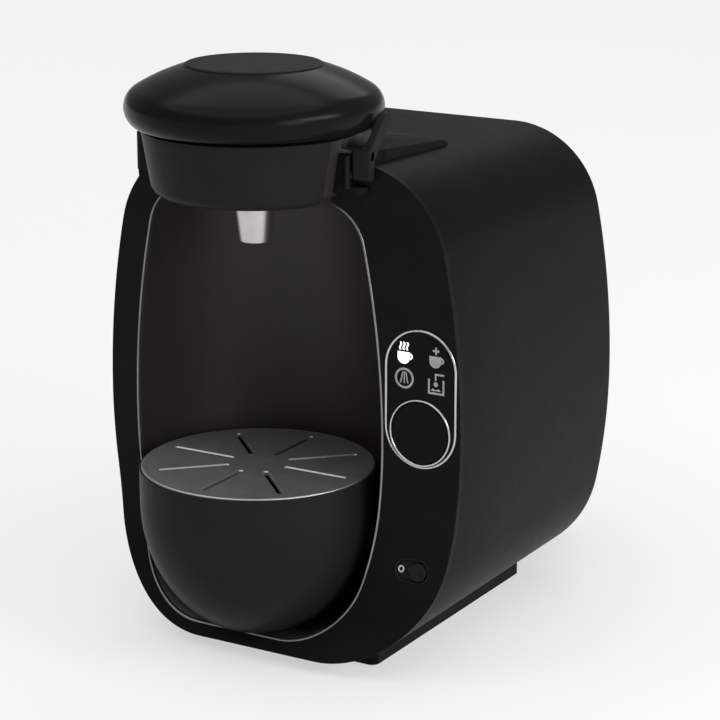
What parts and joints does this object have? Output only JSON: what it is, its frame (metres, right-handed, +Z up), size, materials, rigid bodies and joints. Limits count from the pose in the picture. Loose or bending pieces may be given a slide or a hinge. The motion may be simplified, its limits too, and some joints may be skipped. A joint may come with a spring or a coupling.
{
  "type": "pod coffee machine",
  "caption": "Countertop pod coffee machine with a hinged brewing-head lid, an open cup niche, a lift-out drip tray and a rear water tank.",
  "frame": {"origin": "on the table, under the middle of the overall box", "axes": "+Z up, -Y towards the user, +X to the right seen from the front"},
  "size_m": [0.1974, 0.3, 0.288],
  "materials": {
    "lid_gloss": "polished black",
    "shell_satin": "fine satin black",
    "front_black": "smooth black",
    "head_black": "satin black",
    "niche_dark": "matt dark",
    "trim_grey": "fine grey line",
    "ring_silver": "bright satin silver",
    "nozzle_silver": "satin silver",
    "grate_metal": "dark satin metallic",
    "panel_black": "smooth black window",
    "guide_clear": "clear light guide",
    "foot_rubber": "soft black",
    "seal_rubber": "soft grey",
    "steel": "plain steel",
    "tank_smoke": "smoky clear plastic",
    "float_white": "white",
    "board_green": "coated board",
    "frame_grey": "moulded grey",
    "pump_metal": "plated steel",
    "heater_alloy": "cast alloy",
    "hose_clear": "silicone",
    "window_red": "dark red window"
  },
  "bodies": {
    "housing": {"base_plate": "shell_satin", "rubber_feet": "foot_rubber", "base_screws": "steel", "body_shell": "shell_satin", "front_fascia": "front_black", "niche_liner": "niche_dark", "niche_trim_ring": "trim_grey", "control_plate": "panel_black", "control_ring": "ring_silver", "light_guides": "guide_clear", "button_ring": "ring_silver", "button_board": "board_green", "switch_bezel": "head_black", "switch_body": "niche_dark", "head_housing": "head_black", "drum_cover": "head_black", "brew_chamber": "niche_dark", "drink_nozzle": "nozzle_silver", "piercing_unit": "float_white", "disc_holder": "niche_dark", "code_window": "window_red", "lid_hinge_pin": "steel", "latch_pin": "steel", "latch_spring": "steel", "rear_panel": "shell_satin", "rear_screws": "steel", "tank_dock": "shell_satin", "dock_seal": "seal_rubber", "cord_gland": "niche_dark", "inner_frame": "frame_grey", "pump": "pump_metal", "pump_mounts": "foot_rubber", "flow_heater": "heater_alloy", "flow_meter": "frame_grey", "pressure_hose": "hose_clear", "suction_hose": "hose_clear", "feed_hose": "hose_clear", "brew_hose": "hose_clear", "control_board": "board_green"},
    "lid": {"brew_lid": "lid_gloss", "lid_top_disc": "lid_gloss", "lid_press_plate": "niche_dark", "press_seal": "seal_rubber"},
    "latch": {"latch_lever": "head_black"},
    "button": {"start_button": "panel_black"},
    "slider": {"power_slider": "head_black"},
    "tray": {"drip_bowl": "head_black"},
    "grate": {"drip_grate": "grate_metal"},
    "tank": {"water_tank": "tank_smoke", "tank_valve": "float_white", "tank_lid_pin": "steel"},
    "tank_cover": {"tank_lid": "shell_satin"},
    "float": {"tank_float": "float_white"}
  },
  "joints": [
    {"name": "lid_hinge", "type": "hinge", "parent": "housing", "child": "lid", "pos_m": [-0.013, -0.0215, 0.2576], "axis": [-1, 0, 0], "range_deg": [0, 80]},
    {"name": "latch_pivot", "type": "hinge", "parent": "housing", "child": "latch", "pos_m": [0.0487, -0.0921, 0.2412], "axis": [1, 0, 0], "range_deg": [0, 18], "stiffness_Nm_per_rad": 0.08, "springref_deg": -8.59},
    {"name": "start_press", "type": "slide", "parent": "housing", "child": "button", "axis": [0, 1, 0], "range_m": [0, 0.0015], "stiffness_N_per_m": 800, "springref_m": -0.001},
    {"name": "power_slide", "type": "slide", "parent": "housing", "child": "slider", "axis": [-1, 0, 0], "range_m": [0, 0.0072]},
    {"name": "tray_pull", "type": "slide", "parent": "housing", "child": "tray", "axis": [0, -1, 0], "range_m": [0, 0.125]},
    {"name": "grate_lift", "type": "slide", "parent": "tray", "child": "grate", "axis": [0, 0, 1], "range_m": [0, 0.03]},
    {"name": "tank_lift", "type": "slide", "parent": "housing", "child": "tank", "axis": [0, 0, 1], "range_m": [0, 0.06]},
    {"name": "tank_lid_hinge", "type": "hinge", "parent": "tank", "child": "tank_cover", "pos_m": [0, 0.147, 0.21], "axis": [-1, 0, 0], "range_deg": [0, 70]},
    {"name": "float_rise", "type": "slide", "parent": "tank", "child": "float", "axis": [0, 0, 1], "range_m": [0, 0.1]}
  ]
}
